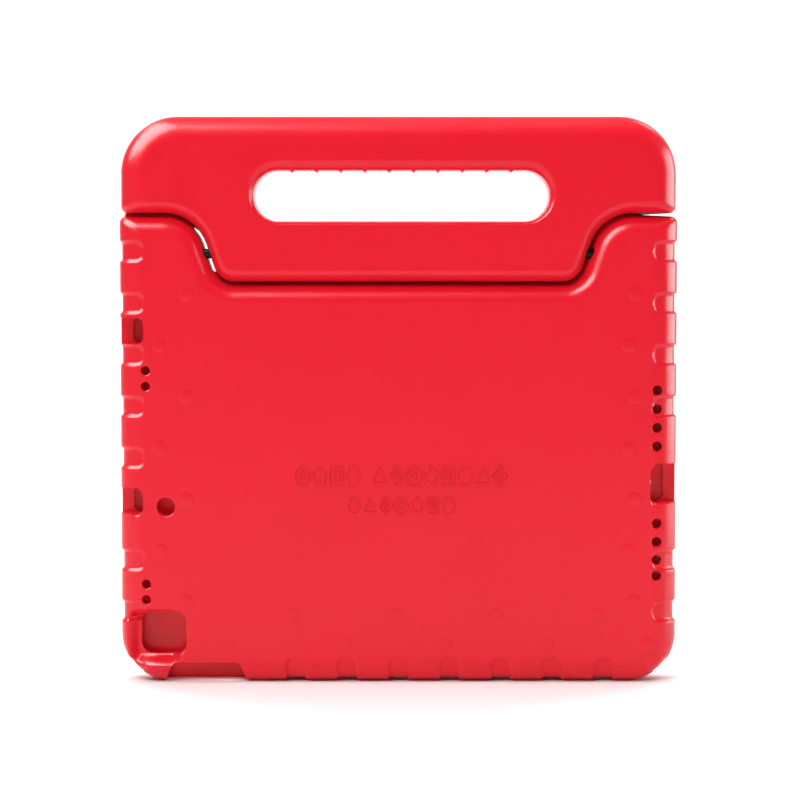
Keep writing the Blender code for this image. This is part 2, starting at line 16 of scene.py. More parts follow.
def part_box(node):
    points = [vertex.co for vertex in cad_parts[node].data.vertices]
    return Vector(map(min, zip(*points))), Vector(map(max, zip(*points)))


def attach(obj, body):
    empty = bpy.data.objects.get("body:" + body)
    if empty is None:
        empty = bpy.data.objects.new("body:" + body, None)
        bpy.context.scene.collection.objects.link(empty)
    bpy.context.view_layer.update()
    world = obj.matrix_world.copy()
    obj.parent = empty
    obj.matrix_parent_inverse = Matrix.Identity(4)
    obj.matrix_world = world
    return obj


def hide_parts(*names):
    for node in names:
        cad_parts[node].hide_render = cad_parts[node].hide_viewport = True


bl_info = {
    "name": "Foam Tablet Case",
    "version": (1, 0, 0),
    "blender": (4, 5, 0),
    "location": "View3D > Sidebar > Foam Case",
    "description": "Builds a moulded foam tablet case with a fold-back handle",
    "category": "Add Mesh",
}

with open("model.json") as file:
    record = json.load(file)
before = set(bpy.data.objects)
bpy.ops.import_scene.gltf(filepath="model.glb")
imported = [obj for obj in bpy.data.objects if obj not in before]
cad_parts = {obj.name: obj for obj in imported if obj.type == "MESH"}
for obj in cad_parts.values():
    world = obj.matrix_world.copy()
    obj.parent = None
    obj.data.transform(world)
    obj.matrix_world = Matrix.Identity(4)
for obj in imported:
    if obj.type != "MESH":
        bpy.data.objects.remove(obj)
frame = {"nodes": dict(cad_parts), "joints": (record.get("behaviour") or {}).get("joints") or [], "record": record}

# Places that the frame gives.
BODY_LOW, BODY_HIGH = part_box("foam_body")
HANDLE_LOW, HANDLE_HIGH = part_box("foam_handle")
SOCKET_LOW, SOCKET_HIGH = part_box("ear_socket_right")
BUSH_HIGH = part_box("handle_bush_right")[1]
TUBE_LOW, TUBE_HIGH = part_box("handle_core_tube")
HINGE = Vector(frame["joints"][0]["pos_m"])
OPENINGS = {item["name"]: item["box_m"] for item in frame["record"]["physics"]["openings"]}

HALF_WIDTH = BODY_HIGH.x
HANDLE_HALF_WIDTH = HANDLE_HIGH.x
BACK_Y = BODY_LOW.y
FRONT_Y = BODY_HIGH.y
EAR_TOP_Z = BODY_HIGH.z
TOP_Z = HANDLE_HIGH.z
TONGUE_LOW_Z = HANDLE_LOW.z

# Sizes of the mouldings, as in the solid model.
GAP = 0.0014
RECESS_Z = TONGUE_LOW_Z - GAP
BACK_WALL = 0.010
FRONT_LIP = 0.008
BAY_FLOOR_Y = BACK_Y + BACK_WALL
LIP_Y = FRONT_Y - FRONT_LIP
SIDE_WALL = 0.0085
BOTTOM_WALL = 0.0066
TOP_WALL = 0.0073
BAY_HALF_LENGTH = HALF_WIDTH - SIDE_WALL
BAY_TOP_Z = RECESS_Z - TOP_WALL
BAY_MIDDLE_Z = (BOTTOM_WALL + BAY_TOP_Z) / 2
BAY_CORNER = 0.009
WINDOW_HALF_LENGTH = BAY_HALF_LENGTH - 0.0217
WINDOW_HALF_HEIGHT = (BAY_TOP_Z - BOTTOM_WALL) / 2 - 0.0075
WINDOW_CORNER = 0.00425
SHOULDER_X = HALF_WIDTH - 0.0347
TONGUE_X = SHOULDER_X - 0.0109
SHOULDER_FILLET = 0.020
TONGUE_FILLET = 0.0104
TOP_CORNER = 0.0265
BOTTOM_CORNER = 0.0225
TIP_CORNER = 0.003
BACK_EDGE = (0.0100, 0.0120)
FRONT_EDGE = (0.0080, 0.0090)

# The sides along the gap. They take only a share of the edge rounding. Each moulding has a low
# bead there, given by where it starts and ends along Y, where it fades out along X, and the
# heights between which it makes way for the left pin.
EAR_SHARE = 0.68
TONGUE_SHARE = 0.45
BODY_BEAD = (-0.0030, 0.0004)
HANDLE_BEAD = (0.0010, 0.0048)
BEAD_HEIGHT = 0.0011
BEAD_STEPS = (0, 0.12, 0.3, 0.5, 0.7, 0.88, 1)
BEAD_RIGHT_FADE = (0.106, 0.116)
BEAD_LEFT_FADE = (0.1262, 0.1277)
PIN_CLEARING = (0.1895, 0.2115)
PIN_CLEARING_FADE = 0.002

# Room around the hinge's hardware.
FIT = 0.0003
PIN_RADIUS = 0.00225
SOCKET_RADIUS = (SOCKET_HIGH.z - SOCKET_LOW.z) / 2
BUSH_RADIUS = 0.0045
TUBE_RADIUS = (TUBE_HIGH.z - TUBE_LOW.z) / 2
GAP_X = (BUSH_HIGH.x + SOCKET_LOW.x) / 2

# How finely the mouldings are divided, and the small distances for cuts and comparisons.
ARC_TOLERANCE = 0.000005
EDGE_STEPS = 26
RIM_STEPS = 8
GROOVE_STEP = 0.0005
DISH_STEP = 0.0007
DISH_CUTS = 44
SMALLEST_FILLET = 0.00005
OVERCUT = 0.004
OVERLAP = 0.0003
ON_FACE = 1e-7
NEAR = 1e-4
SHARP_ANGLE = math.radians(42)

# How much taller than wide the raised outlines on the back are.
EMBLEM_STRETCH = 1.4


class FoamCaseSettings(bpy.types.PropertyGroup):
    """Sizes and colours that someone would change on the finished case."""

    foam_colour: bpy.props.FloatVectorProperty(
        name="Foam colour",
        description="Main colour of the moulded foam",
        subtype="COLOR",
        size=3,
        min=0.0,
        max=1.0,
        default=(0.80, 0.006, 0.022),
    )
    foam_shade: bpy.props.FloatVectorProperty(
        name="Foam shade",
        description="Slightly deeper colour that clouds the foam here and there",
        subtype="COLOR",
        size=3,
        min=0.0,
        max=1.0,
        default=(0.77, 0.0055, 0.0205),
    )
    pin_colour: bpy.props.FloatVectorProperty(
        name="Pin colour",
        description="Colour of the blackened hinge pins",
        subtype="COLOR",
        size=3,
        min=0.0,
        max=1.0,
        default=(0.012, 0.012, 0.014),
    )
    groove_width: bpy.props.FloatProperty(
        name="Grip groove width",
        description="Width of each grip groove around the edge",
        unit="LENGTH",
        min=0.004,
        max=0.014,
        default=0.0088,
    )
    groove_depth: bpy.props.FloatProperty(
        name="Grip groove depth",
        description="Depth of each grip groove",
        unit="LENGTH",
        min=0.0002,
        max=0.003,
        default=0.0011,
    )
    rib_height: bpy.props.FloatProperty(
        name="Finger rib height",
        description="Height of the ribs along the top of the grip slot",
        unit="LENGTH",
        min=0.0,
        max=0.002,
        default=0.0008,
    )
    emblem_height: bpy.props.FloatProperty(
        name="Emblem height",
        description="How far the raised outlines on the back stand proud",
        unit="LENGTH",
        min=0.0001,
        max=0.001,
        default=0.0008,
    )
    stud_height: bpy.props.FloatProperty(
        name="Cushion stud height",
        description="Height of the studs on the floor of the tray",
        unit="LENGTH",
        min=0.0002,
        max=0.0015,
        default=0.0008,
    )


def settings():
    return bpy.context.scene.foam_case


# Shaping


def arc_steps(radius, turn):
    """How many straight pieces keep an arc within the tolerance."""
    widest = 2 * math.acos(1 - ARC_TOLERANCE / max(radius, 2 * ARC_TOLERANCE))
    return max(1, math.ceil(abs(turn) / widest))


def inward(direction):
    """The unit vector to the left of a direction, which is inwards on an anticlockwise outline."""
    return Vector((-direction.y, direction.x))


def outline(corners, inset=0.0, least_fillet=SMALLEST_FILLET):
    """The points of a closed outline with filleted corners, moved inwards by an inset.

    The corners run anticlockwise as (x, z, fillet radius) and may end in a share of the
    inset for the edge that follows. Every inset gives the same number of points, so that
    one outline can be extruded into the next.
    """
    points = []
    count = len(corners)
    places = [Vector(corner[:2]) for corner in corners]
    shares = [corner[3] if len(corner) > 3 else 1.0 for corner in corners]
    for index, (corner, place) in enumerate(zip(corners, places)):
        radius = corner[2]
        before = (place - places[index - 1]).normalized()
        after = (places[(index + 1) % count] - place).normalized()
        turn = math.atan2(before.cross(after), before.dot(after))
        side = math.copysign(1.0, turn)
        straight = before.dot(after)
        inwards = (inward(before) + inward(after)) / (1 + straight)
        first, second = inset * shares[index - 1], inset * shares[index]
        if straight > 0.9999:
            points.append(place + second * inwards)
            continue
        square = 1 - straight * straight
        moved = place + inward(before) * (first - second * straight) / square
        moved += inward(after) * (second - first * straight) / square
        if not radius:
            points.append(moved)
            continue
        fillet = max(radius - side * min(first, second, key=abs), least_fillet)
        centre = moved + side * fillet * inwards
        spoke = -side * fillet * inward(before)
        steps = arc_steps(radius, turn)
        for step in range(steps + 1):
            points.append(centre + Matrix.Rotation(turn * step / steps, 2) @ spoke)
    return points


def extruded(corners, stations, shape=None, least_fillet=SMALLEST_FILLET, lean=(0.0, 0.0)):
    """Extrude an outline along Y, through stations given as (y, inset).

    A lean shifts each station sideways by its inset, so that a flare is wider on one side.
    """
    shape = shape or bmesh.new()

    def places(y, inset):
        points = outline(corners, inset, least_fillet)
        return [(point.x - inset * lean[0], y, point.y - inset * lean[1]) for point in points]

    start = shape.faces.new([shape.verts.new(place) for place in places(*stations[0])])
    face = start
    for station in stations[1:]:
        made = bmesh.ops.extrude_face_region(shape, geom=[face])["geom"]
        if face is not start:
            bmesh.ops.delete(shape, geom=[face], context="FACES_ONLY")
        face = next(element for element in made if isinstance(element, bmesh.types.BMFace))
        for vertex, place in zip(face.verts, places(*station)):
            vertex.co = place
    return shape


def rounding(depth, reach, steps):
    """(depth below the face, inset) along a quarter of an ellipse, from the face down."""
    angles = [math.pi / 2 * step / steps for step in range(steps + 1)]
    return [(depth * (1 - math.sin(angle)), reach * (1 - math.cos(angle))) for angle in reversed(angles)]


def slab_stations():
    """A moulding's stations, from its rounded back edge to its rounded front edge."""
    back = [(BACK_Y + depth, inset) for depth, inset in rounding(*BACK_EDGE, EDGE_STEPS)]
    front = [(FRONT_Y - depth, inset) for depth, inset in rounding(*FRONT_EDGE, EDGE_STEPS)]
    return back + front[::-1]


def flared_stations(face_y, end_y, depth, reach=None, steps=RIM_STEPS):
    """A cutter's stations, from outside a face, over the rounded rim, to where it ends."""
    outwards = math.copysign(1.0, face_y - end_y)
    reach = reach or depth
    rim = [(face_y - outwards * down, -inset) for down, inset in rounding(depth, reach, steps)]
    return [(face_y + outwards * OVERCUT, -reach)] + rim + [(end_y, 0.0)]


def rectangle(x, z, width, height, radius):
    """Corners of a rectangle around a middle point."""
    left, right = x - width / 2, x + width / 2
    low, high = z - height / 2, z + height / 2
    return [(left, low, radius), (right, low, radius), (right, high, radius), (left, high, radius)]


def disc(x, z, radius):
    """Corners of a round outline."""
    return rectangle(x, z, 2 * radius, 2 * radius, radius - SMALLEST_FILLET)


def mesh_object(name, shape):
    bmesh.ops.recalc_face_normals(shape, faces=shape.faces)
    mesh = bpy.data.meshes.new(name)
    shape.to_mesh(mesh)
    shape.free()
    item = bpy.data.objects.new(name, mesh)
    bpy.context.scene.collection.objects.link(item)
    return item


def combine(item, operation, shape):
    """Apply a Boolean with a bmesh to an object, and drop the bmesh."""
    other = mesh_object(item.name + "_tool", shape)
    modifier = item.modifiers.new("cut", "BOOLEAN")
    modifier.solver = "MANIFOLD"
    modifier.operation = operation
    modifier.object = other
    applied(item)
    bpy.data.objects.remove(other, do_unlink=True)


def applied(item):
    """Swap an object's mesh for what its modifiers make of it."""
    bpy.context.view_layer.update()
    evaluated = item.evaluated_get(bpy.context.evaluated_depsgraph_get())
    made = bpy.data.meshes.new_from_object(evaluated)
    item.modifiers.clear()
    old = item.data
    item.data = made
    bpy.data.meshes.remove(old)


def finished(item, material, body, replaced=()):
    """Smooth shading, material and place in the frame for a finished piece."""
    item.data.materials.clear()
    item.data.materials.append(material)
    item.data.shade_smooth()
    item.data.set_sharp_from_angle(angle=SHARP_ANGLE)
    weights = item.modifiers.new("flat faces stay flat", "WEIGHTED_NORMAL")
    weights.keep_sharp = True
    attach(item, body)
    if replaced:
        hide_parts(*replaced)


# Outlines of the two mouldings


def edge_inset(y):
    """How far the rounded back edge is set in at a height along Y."""
    depth, reach = BACK_EDGE
    share = min(1.0, max(0.0, 1 - (y - BACK_Y) / depth))
    return reach * (1 - math.sqrt(1 - share * share))


def beaded_stations(span):
    """The stations of a moulding, with extra ones where its bead along the gap rises."""
    start, end = span
    extra = [start + (end - start) * share for share in BEAD_STEPS]
    stations = [station for station in slab_stations() if not start - NEAR < station[0] < end + NEAR]
    return sorted(stations + [(y, edge_inset(y)) for y in extra], key=lambda station: station[0])


def gap_bead(shape, span, on_handle):
    """A low bead along the gap between the mouldings, which keeps light and dust out.

    The handle's bead stands in front of the case's bead, so that they pass each other.
    """
    bmesh.ops.recalc_face_normals(shape, faces=shape.faces)
    shape.normal_update()
    start, end = span
    moves = []
    for vertex in shape.verts:
        x, y, z = vertex.co
        along_gap = z < EAR_TOP_Z + GAP + TIP_CORNER if on_handle else z > RECESS_Z - NEAR
        if not start < y < end or not along_gap:
            continue
        rise = math.sin(math.pi * (y - start) / (end - start)) ** 0.5
        near, far = BEAD_RIGHT_FADE if x > 0 else BEAD_LEFT_FADE
        fade = 1 - smooth((abs(x) - near) / (far - near))
        if x < 0:
            low, high = PIN_CLEARING
            beside_pin = smooth((z - low) / PIN_CLEARING_FADE) * smooth((high - z) / PIN_CLEARING_FADE)
            fade *= 1 - beside_pin * (0.55 if on_handle else 1.0)
        outwards = Vector((vertex.normal.x, 0.0, vertex.normal.z)).normalized()
        moves.append((vertex, vertex.co + outwards * BEAD_HEIGHT * rise * fade))
    for vertex, place in moves:
        vertex.co = place


def gap_side(half):
    """Where the gap's slanted side meets its level stretches, on one side of the gap."""
    top_z, low_z = EAR_TOP_Z + GAP / 2, RECESS_Z + GAP / 2
    slope = (SHOULDER_X - TONGUE_X) / (top_z - low_z)
    sideways = half * math.hypot(1, slope) - half * slope
    return SHOULDER_X + sideways, TONGUE_X + sideways


def body_corners(groove_width):
    """The case with its recess between the ears, with extra points near grooves and the dish."""
    half = GAP / 2
    top_x, low_x = gap_side(half)
    spread = int((groove_width / 2 + Groove.SHOULDER) / GROOVE_STEP)
    offsets = [step * GROOVE_STEP for step in range(-spread, spread + 1)]
    heights = [z + offset for z in side_groove_heights() for offset in offsets]
    places = [x + offset for x in bottom_groove_places() for offset in offsets]
    near_dish = [step * DISH_STEP for step in range(1, 18)]
    return [
        (-HALF_WIDTH, 0, BOTTOM_CORNER),
        *((-HALF_WIDTH + BOTTOM_CORNER + step, 0, 0) for step in near_dish),
        *((x, 0, 0) for x in places),
        (HALF_WIDTH, 0, BOTTOM_CORNER),
        *((HALF_WIDTH, z, 0) for z in heights),
        (HALF_WIDTH, EAR_TOP_Z, TIP_CORNER, EAR_SHARE),
        (top_x, EAR_TOP_Z, SHOULDER_FILLET - half, EAR_SHARE),
        (low_x, RECESS_Z, TONGUE_FILLET + half, EAR_SHARE),
        (-low_x, RECESS_Z, TONGUE_FILLET + half, EAR_SHARE),
        (-top_x, EAR_TOP_Z, SHOULDER_FILLET - half, EAR_SHARE),
        (-HALF_WIDTH, EAR_TOP_Z, TIP_CORNER),
        *((-HALF_WIDTH, z, 0) for z in reversed(heights)),
        *((-HALF_WIDTH, BOTTOM_CORNER + step, 0) for step in reversed(near_dish[:6])),
    ]


def handle_corners():
    """The handle with its tongue."""
    reach = HANDLE_HALF_WIDTH
    half = GAP / 2
    top_x, low_x = gap_side(-half)
    shoulder_z = EAR_TOP_Z + GAP
    return [
        (reach, TOP_Z, TOP_CORNER),
        (-reach, TOP_Z, TOP_CORNER),
        (-reach, shoulder_z, TIP_CORNER, TONGUE_SHARE),
        (-top_x, shoulder_z, SHOULDER_FILLET + half, TONGUE_SHARE),
        (-low_x, TONGUE_LOW_Z, TONGUE_FILLET - half, TONGUE_SHARE),
        (low_x, TONGUE_LOW_Z, TONGUE_FILLET - half, TONGUE_SHARE),
        (top_x, shoulder_z, SHOULDER_FILLET + half, TONGUE_SHARE),
        (reach, shoulder_z, TIP_CORNER),
    ]


# Grip grooves


def smooth(value):
    """A soft step from 0 to 1."""
    value = min(1.0, max(0.0, value))
    return value * value * (3 - 2 * value)


class Groove:
    """One grip groove: a shallow channel that runs over the edge, with a rounded inner end."""

    PITCH = 0.0238
    FIRST_ON_SIDE = 0.0332
    REACH = 0.0114
    LEFT_CORNER_REACH = 0.0045
    CORNER = 0.0034
    SHOULDER = 0.0016

    def __init__(self, x, z, inwards, width, depth, reach=REACH):
        self.start = Vector((x, z))
        self.reach = reach
        self.inwards = Vector(inwards).normalized()
        self.half = width / 2
        self.depth = depth

    def depth_at(self, x, z):
        """How deep the groove is at a point of the case's outline plane."""
        offset = Vector((x, z)) - self.start
        beside = abs(offset.cross(self.inwards)) - (self.half - self.CORNER)
        beyond = offset.dot(self.inwards) - (self.reach - self.CORNER)
        outside = math.hypot(max(beside, 0.0), max(beyond, 0.0)) + min(max(beside, beyond), 0.0)
        return self.depth * smooth(0.5 - (outside - self.CORNER) / self.SHOULDER)


def side_groove_heights():
    return [Groove.FIRST_ON_SIDE + step * Groove.PITCH for step in range(8)]


def side_grooves_left_out(side):
    """Which grooves make way for port cut-outs, counted up from 0."""
    return (2, 3) if side > 0 else (2,)


def bottom_groove_places():
    return [step * Groove.PITCH for step in range(-2, 5)]


def all_grooves(width, depth):
    grooves = []
    for side in (-1, 1):
        for step, z in enumerate(side_groove_heights()):
            if step not in side_grooves_left_out(side):
                grooves.append(Groove(side * HALF_WIDTH, z, (-side, 0), width, depth))
    for x in bottom_groove_places():
        grooves.append(Groove(x, 0.0, (0, 1), width, depth))
    middle = BOTTOM_CORNER * (1 - math.sqrt(0.5))
    for side, reach in ((-1, Groove.LEFT_CORNER_REACH), (1, Groove.REACH)):
        grooves.append(Groove(side * (HALF_WIDTH - middle), middle, (-side, 1), width, depth * 0.5, reach))
    return grooves


def press_grooves(shape, width, depth):
    """Press the grip grooves into the rounded edge, square to its surface."""
    bmesh.ops.recalc_face_normals(shape, faces=shape.faces)
    shape.normal_update()
    grooves = all_grooves(width, depth)
    band = Groove.REACH + Groove.SHOULDER + BOTTOM_CORNER / 4
    moves = []
    for vertex in shape.verts:
        x, _, z = vertex.co
        if abs(x) > HALF_WIDTH - band or z < band:
            deepest = max(groove.depth_at(x, z) for groove in grooves)
            if deepest > 0:
                moves.append((vertex, vertex.co - vertex.normal * deepest))
    for vertex, place in moves:
        vertex.co = place


# The foam body


def opening_middle(name):
    low, high = OPENINGS[name]
    return [(a + b) / 2 for a, b in zip(low, high)]


def camera_window():
    """Left, right, low and high edges of the window over the camera."""
    x, _, z = opening_middle("camera_window")
    return x - 0.0109, x + 0.0105, z - 0.0098, z + 0.0109


def dish_box():
    """Left, right, low and high edges of the deepest part of the finger dish."""
    left, right, low, high = camera_window()
    return left - 0.0002, right - 0.0075, low + 0.0005, high - 0.0030


def divide_back_corner(shape):
    """Divide the flat back near the lower left corner into a grid, so that it can be pressed."""
    _, right, _, high = dish_box()
    end_x, end_z = right + 0.0100, high + 0.0090

    def cut(faces, axis, value):
        around = {item for face in faces for item in (*face.verts, *face.edges)}
        place, normal = Vector((0.0, 0.0, 0.0)), Vector((0.0, 0.0, 0.0))
        place[axis], normal[axis] = value, 1.0
        parts = [*faces, *around]
        made = bmesh.ops.bisect_plane(shape, geom=parts, dist=ON_FACE, plane_co=place, plane_no=normal)
        return [item for item in made["geom"] if isinstance(item, bmesh.types.BMFace)]

    def in_corner(face):
        return all(vertex.co.x < end_x + NEAR and vertex.co.z < end_z + NEAR for vertex in face.verts)

    faces = [face for face in shape.faces if all(abs(v.co.y - BACK_Y) < ON_FACE for v in face.verts)]
    faces = cut(cut(faces, 0, end_x), 2, end_z)
    faces = [face for face in faces if in_corner(face)]
    for step in range(1, DISH_CUTS):
        faces = cut(faces, 0, end_x - step * DISH_STEP)
        faces = cut(faces, 2, end_z - step * DISH_STEP)


def press_dish(shape):
    """Press a dish for a finger around the lower left of the camera window."""
    left, right, low, high = dish_box()
    depth = 0.0072
    left_slope, right_slope, low_slope, high_slope = 0.0064, 0.0060, 0.0064, 0.0042
    for vertex in shape.verts:
        x, y, z = vertex.co
        if y < 0:
            aside = max((left - x) / left_slope, (x - right) / right_slope, 0.0)
            beyond = max((low - z) / low_slope, (z - high) / high_slope, 0.0)
            vertex.co.y += depth * (1 - smooth(math.hypot(aside, beyond)))


def tray_cutters():
    """The tray, and the window in its front lip with the reliefs for button and camera."""
    tray = rectangle(0, BAY_MIDDLE_Z, 2 * BAY_HALF_LENGTH, BAY_TOP_Z - BOTTOM_WALL, BAY_CORNER)
    bevel = 0.0008
    yield extruded(tray, [(BAY_FLOOR_Y, bevel), (BAY_FLOOR_Y + bevel, 0), (LIP_Y, 0)])
    window = rectangle(0, BAY_MIDDLE_Z, 2 * WINDOW_HALF_LENGTH, 2 * WINDOW_HALF_HEIGHT, WINDOW_CORNER)
    yield extruded(window, flared_stations(FRONT_Y, LIP_Y - OVERLAP, 0.006, 0.005, 14))
    for side, far, radius in ((1, 0.1181, 0.0085), (-1, 0.1160, 0.0045)):
        near = WINDOW_HALF_LENGTH - 2 * radius
        middle = side * (near + far) / 2
        notch = rectangle(middle, BAY_MIDDLE_Z, far - near, 2 * radius, radius - SMALLEST_FILLET)
        yield extruded(notch, flared_stations(FRONT_Y, LIP_Y - OVERLAP, 0.0025))


def port_cutters(side, z, reach, height, flare, droop=0.0):
    """A port cut-out: a deep slot beside the tablet, and a shallower ledge in the side wall.

    Its walls flare towards the back, and a droop makes the flare wider at the bottom.
    """
    inner = HALF_WIDTH - reach
    outer = HALF_WIDTH + OVERCUT * 3
    slot = rectangle(side * (inner + outer) / 2, z, outer - inner, height, 0.0038)
    stations = flared_stations(BACK_Y, LIP_Y - 0.0035, flare * 1.5, flare, 14)
    yield extruded(slot, stations, lean=(side, -droop))
    inside, ledge = BAY_HALF_LENGTH - 0.0060, BAY_HALF_LENGTH + 0.0030
    deep = rectangle(side * (inside + ledge) / 2, z, ledge - inside, height - 0.0006, 0.0028)
    yield extruded(deep, [(BAY_FLOOR_Y, 0.0), (LIP_Y, 0.0)])


def volume_cutter():
    """The tapered cut-out over the volume keys, through the bottom wall."""
    middle = -HALF_WIDTH + 0.0397
    half_length, half_top = 0.0193, 0.01535
    top, below, corner = BOTTOM_WALL + 0.0028, OVERCUT * 2, 0.0032
    low = half_length + (half_length - half_top) / top * below
    corners = [
        (middle - low, -below, 0),
        (middle + low, -below, 0),
        (middle + half_top, top, corner),
        (middle - half_top, top, corner),
    ]
    return extruded(corners, flared_stations(BACK_Y, LIP_Y, 0.0010))


def sound_hole_cutter():
    """The rows of speaker holes, the rear microphone hole and their soft rims."""
    shape = bmesh.new()
    left_x, right_x = -HALF_WIDTH + 0.0123, HALF_WIDTH - 0.0096
    left_radius, right_radius, rear_radius, rim = 0.00205, 0.00225, 0.00425, 0.0007
    half_tray = (BAY_TOP_Z - BOTTOM_WALL) / 2
    left_offsets = [half_tray - inset for inset in (0.0321, 0.0394)]
    upper_offsets = (0.0181, 0.0267, 0.0353, 0.0440)
    lower_offsets = (0.0177, 0.0262, 0.0347, 0.0420)
    holes = [(-HALF_WIDTH + 0.0214, BAY_MIDDLE_Z - 0.0100, rear_radius)]
    for way, offsets in ((1, upper_offsets), (-1, lower_offsets)):
        holes += [(left_x, BAY_MIDDLE_Z + way * offset, left_radius) for offset in left_offsets]
        holes += [(right_x, BAY_MIDDLE_Z + way * offset, right_radius) for offset in offsets]
    stations = flared_stations(BACK_Y, BAY_FLOOR_Y + OVERLAP, rim, steps=5)
    for x, z, radius in holes:
        extruded(disc(x, z, radius), stations, shape)
    return shape


def hollow_cutter(profile, side=1):
    """A turned hollow around the hinge's axis, from a profile of (x, radius)."""
    shape = bmesh.new()
    points = [shape.verts.new((side * x, HINGE.y + radius, HINGE.z)) for x, radius in profile]
    edges = [shape.edges.new(pair) for pair in zip(points, points[1:])]
    bmesh.ops.spin(
        shape,
        geom=points + edges,
        cent=HINGE,
        axis=(1, 0, 0),
        angle=2 * math.pi,
        steps=48,
        use_merge=True,
    )
    bmesh.ops.holes_fill(shape, edges=[edge for edge in shape.edges if edge.is_boundary])
    return shape


def camera_window_cutter():
    """The window over the camera, with a softly rounded rim."""
    left, right, low, high = camera_window()
    window = rectangle((left + right) / 2, (low + high) / 2, right - left, high - low, 0.0055)
    return extruded(window, flared_stations(BACK_Y, BAY_FLOOR_Y + OVERLAP, 0.0009))


def cushion_places():
    """Where the cushioning studs stand, in staggered rows along the tray's edges."""
    side_low, side_pitch, row_start, row_pitch = 0.0378, 0.0238, -0.0487, 0.0235
    places = []
    for step in range(7):
        z = side_low + step * side_pitch
        places.append((-HALF_WIDTH + 0.0309 - 0.012 * (step % 2), z))
        places.append((HALF_WIDTH - 0.0200 - 0.003 * (step % 2), z))
    for step in range(8):
        places.append((row_start + step * row_pitch, 0.0315 - 0.014 * (step % 2)))
    return places


def dome(x, y, z, radius, height, shape):
    """A low round cap that stands out of a flat face."""
    place = Matrix.Translation((x, y, z))
    size = Matrix.Diagonal((radius, height, radius, 1.0))
    turn = Matrix.Rotation(math.pi / 2, 4, "X")
    bmesh.ops.create_uvsphere(shape, u_segments=32, v_segments=16, radius=1.0, matrix=place @ size @ turn)


def regular(x, z, radius, sides, fillet, turn=0.0):
    """Corners of a regular shape around a middle point, drawn out upwards."""
    angles = [math.radians(turn) + 2 * math.pi * step / sides for step in range(sides)]
    height = radius * EMBLEM_STRETCH
    return [(x + radius * math.cos(angle), z + height * math.sin(angle), fillet) for angle in angles]


def star(x, z, radius):
    """Corners of a five-pointed star, drawn out upwards."""
    corners = []
    for step in range(10):
        angle = math.pi / 2 + math.pi * step / 5
        length, fillet = (radius, 0.0003) if step % 2 == 0 else (radius * 0.58, 0.0002)
        height = length * EMBLEM_STRETCH
        corners.append((x + length * math.cos(angle), z + height * math.sin(angle), fillet))
    return corners


def emblem_outlines():
    """Two rows of playful outlines on the back: rings, stars and the like."""
    kinds = ("ring", "star", "square", "hexagon", "triangle", "diamond")
    upper_pitch, lower_pitch = 0.0079, 0.0073
    upper = [-0.0445 + step * upper_pitch for step in range(4)]
    upper += [-0.0088 + step * upper_pitch for step in range(8)]
    lower = [-0.0206 + step * lower_pitch for step in range(7)]
    for row, (z, radius, places) in enumerate(((0.0964, 0.0034, upper), (0.0826, 0.0029, lower))):
        for step, x in enumerate(places):
            kind = kinds[(step + 3 * row) % len(kinds)]
            if kind == "ring":
                yield regular(x, z, radius, 24, 0)
                yield regular(x, z, radius * 0.4, 16, 0)
            elif kind == "star":
                yield star(x, z, radius * 1.1)
            elif kind == "square":
                yield regular(x, z, radius * 1.25, 4, 0.0008, 45)
                yield regular(x, z, radius * 0.5, 4, 0.0003, 45)
            elif kind == "hexagon":
                yield regular(x, z, radius, 6, 0.0005)
            elif kind == "triangle":
                yield regular(x, z - radius * 0.2, radius * 1.15, 3, 0.0007, 90)
            else:
                yield regular(x, z, radius * 1.1, 4, 0.0005)
                yield regular(x, z, radius * 0.45, 4, 0.0002)


def emblem_beads(height):
    """Rounded beads along the emblem outlines, sunk a little into the back."""
    shape = bmesh.new()
    half = 0.0004
    profile = [
        (BACK_Y + OVERLAP, half),
        (BACK_Y - height * 0.55, half),
        (BACK_Y - height * 0.92, half * 0.6),
        (BACK_Y - height, 0.0),
        (BACK_Y - height * 0.92, -half * 0.6),
        (BACK_Y - height * 0.55, -half),
        (BACK_Y + OVERLAP, -half),
    ]
    for corners in emblem_outlines():
        loops = []
        for y, inset in profile:
            points = [shape.verts.new((point.x, y, point.y)) for point in outline(corners, inset)]
            loops.append([shape.edges.new(pair) for pair in zip(points, points[1:] + points[:1])])
        for first, second in zip(loops, loops[1:] + loops[:1]):
            bmesh.ops.bridge_loops(shape, edges=first + second)
    return shape


def ear_hollow(side):
    """The hollow in an ear that its socket and pin fill."""
    bore = PIN_RADIUS + FIT
    radius = SOCKET_RADIUS + FIT
    profile = [
        (GAP_X - OVERCUT, bore),
        (SOCKET_LOW.x - FIT, bore),
        (SOCKET_LOW.x - FIT, radius),
        (SOCKET_HIGH.x + FIT, radius),
    ]
    return hollow_cutter(profile, side)


